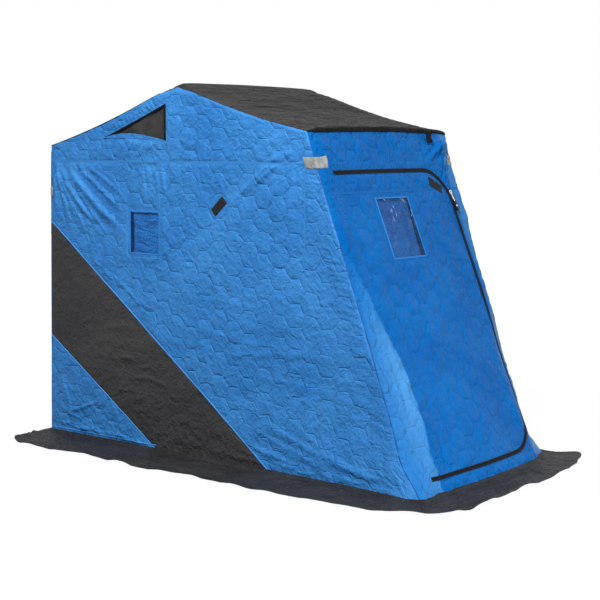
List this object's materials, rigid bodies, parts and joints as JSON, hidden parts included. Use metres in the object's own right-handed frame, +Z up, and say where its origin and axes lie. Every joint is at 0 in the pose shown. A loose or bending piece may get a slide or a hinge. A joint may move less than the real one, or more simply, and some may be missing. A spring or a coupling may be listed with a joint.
{
  "type": "ice fishing hut",
  "caption": "Flip-over ice fishing hut: quilted cloth over bowed tubes, with a sloping front wall, a zipped door flap, windows and a snow skirt.",
  "frame": {"origin": "on the ground, at the centre of the footprint's box, snow skirt included", "axes": "+Z up; the door faces -Y, so the hut's length runs along Y; X runs across it"},
  "size_m": [1.551, 2.482, 1.7],
  "materials": {
    "blue_cloth": "quilted, woven",
    "dark_cloth": "woven",
    "skirt_cloth": "coated, woven",
    "clear_vinyl": "clear",
    "vent_mesh": "open mesh",
    "zip_tape": "coil zip on tape",
    "zip_metal": "satin",
    "black_webbing": "webbing",
    "reflective_tape": "retro-reflective",
    "frame_tube": "satin",
    "bracket_steel": "powder coated"
  },
  "bodies": {
    "shell": {"rear_wall": "blue_cloth", "front_header": "blue_cloth", "front_sill": "blue_cloth", "front_jamb_left": "blue_cloth", "front_jamb_right": "blue_cloth", "left_gable": "blue_cloth", "left_wall": "blue_cloth", "left_corner": "blue_cloth", "right_gable": "blue_cloth", "right_wall": "blue_cloth", "right_corner": "blue_cloth", "left_window_cover": "blue_cloth", "right_window_cover": "blue_cloth", "rear_roof": "dark_cloth", "front_roof": "dark_cloth", "left_band": "dark_cloth", "right_band": "dark_cloth", "skirt_left": "skirt_cloth", "skirt_right": "skirt_cloth", "skirt_front": "skirt_cloth", "skirt_rear": "skirt_cloth", "left_window": "clear_vinyl", "right_window": "clear_vinyl", "left_vent": "vent_mesh", "right_vent": "vent_mesh", "frame_zip": "zip_tape", "guy_patches": "black_webbing", "roof_hem": "black_webbing", "door_tie": "black_webbing", "corner_reflectors": "reflective_tape", "rear_bow": "frame_tube", "ridge_bow": "frame_tube", "front_bow": "frame_tube", "base_bar_front": "frame_tube", "base_bar_rear": "frame_tube", "base_rail_left": "frame_tube", "base_rail_right": "frame_tube", "pivot_bracket_left": "bracket_steel", "pivot_bracket_right": "bracket_steel"},
    "door": {"door_panel": "blue_cloth", "door_window": "clear_vinyl", "door_window_cover": "blue_cloth", "door_zip": "zip_tape", "door_patch": "black_webbing", "zip_slider": "zip_metal"}
  },
  "joints": [
    {"name": "door_swing", "type": "hinge", "parent": "shell", "child": "door", "pos_m": [-0.4305, -1.018, 0], "axis": [0, -0.37, -0.929], "range_deg": [0, 110]}
  ]
}
